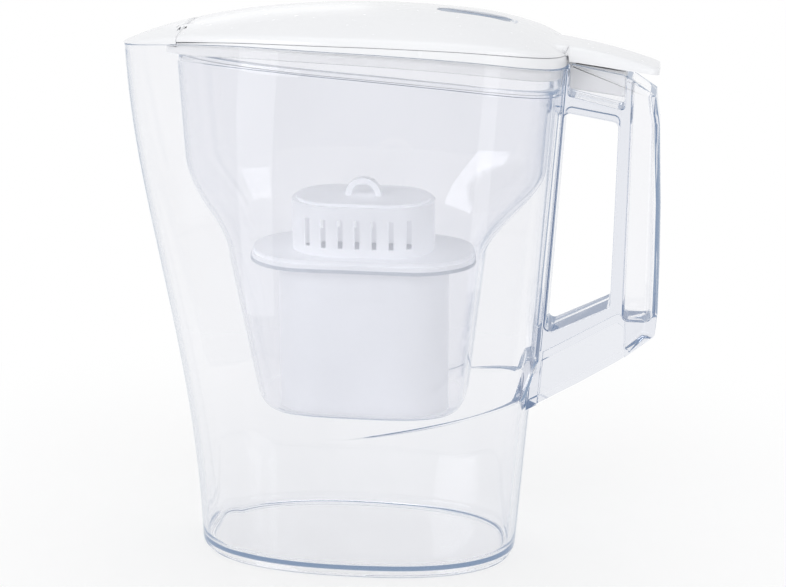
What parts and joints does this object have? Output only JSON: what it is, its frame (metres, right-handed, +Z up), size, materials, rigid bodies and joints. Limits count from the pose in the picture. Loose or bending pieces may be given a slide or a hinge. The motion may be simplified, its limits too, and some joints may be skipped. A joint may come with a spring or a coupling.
{
  "type": "water filter pitcher",
  "caption": "Oblong clear plastic pitcher with a channel handle, an inner funnel with a filter cartridge, and a white lid that flips open for filling over a hinged spout flap.",
  "frame": {"origin": "centre of the foot outline, on the surface the pitcher stands on", "axes": "+Z up; -X towards the spout and +X towards the handle; the pitcher is symmetric about the plane Y = 0"},
  "size_m": [0.2553, 0.1046, 0.2687],
  "materials": {
    "clear_jug": "clear, glossy, slightly blue-grey",
    "clear_funnel": "clear, glossy, slightly lavender",
    "cartridge_white": "satin moulded",
    "seal_rubber": "matt",
    "screen": "fine mesh",
    "granules": "rough granules",
    "white_lid": "opaque white, glossy",
    "pin_steel": "fine turned",
    "window": "tinted, glossy",
    "display": "liquid crystal, blank",
    "board": "solder mask",
    "button": "soft touch"
  },
  "bodies": {
    "jug_body": {"jug": "clear_jug"},
    "funnel_body": {"funnel": "clear_funnel"},
    "cartridge_body": {"cartridge_shell": "cartridge_white", "cartridge_cap": "cartridge_white", "cartridge_seal": "seal_rubber", "cartridge_inlet_screen": "screen", "cartridge_outlet_screen": "screen", "filter_granules": "granules"},
    "lid_body": {"lid_base": "white_lid", "flip_hinge_pin": "pin_steel", "spout_hinge_pin": "pin_steel"},
    "flip_body": {"flip_lid": "white_lid", "indicator_window": "window", "indicator_gasket": "seal_rubber", "indicator_display": "display", "indicator_board": "board", "indicator_cell": "pin_steel", "indicator_tray": "cartridge_white", "indicator_cover": "cartridge_white"},
    "flap_body": {"spout_flap": "white_lid"},
    "button_body": {"indicator_button": "button"}
  },
  "joints": [
    {"name": "funnel_lift", "type": "slide", "parent": "jug_body", "child": "funnel_body", "axis": [0, 0, 1], "range_m": [0, 0.19]},
    {"name": "cartridge_lift", "type": "slide", "parent": "funnel_body", "child": "cartridge_body", "axis": [0, 0, 1], "range_m": [0, 0.18]},
    {"name": "lid_lift", "type": "slide", "parent": "cartridge_body", "child": "lid_body", "axis": [0, 0, 1], "range_m": [0, 0.06]},
    {"name": "flip_lid_hinge", "type": "hinge", "parent": "lid_body", "child": "flip_body", "pos_m": [-0.0776, 0, 0.25729], "axis": [0, -1, 0], "range_deg": [0, 95]},
    {"name": "spout_flap_hinge", "type": "hinge", "parent": "lid_body", "child": "flap_body", "pos_m": [-0.0809, 0, 0.25669], "axis": [0, 1, 0], "range_deg": [0, 30]},
    {"name": "reset_press", "type": "slide", "parent": "flip_body", "child": "button_body", "axis": [0.1046, 0, 0.9945], "range_m": [0, 0.0005], "stiffness_N_per_m": 400}
  ]
}
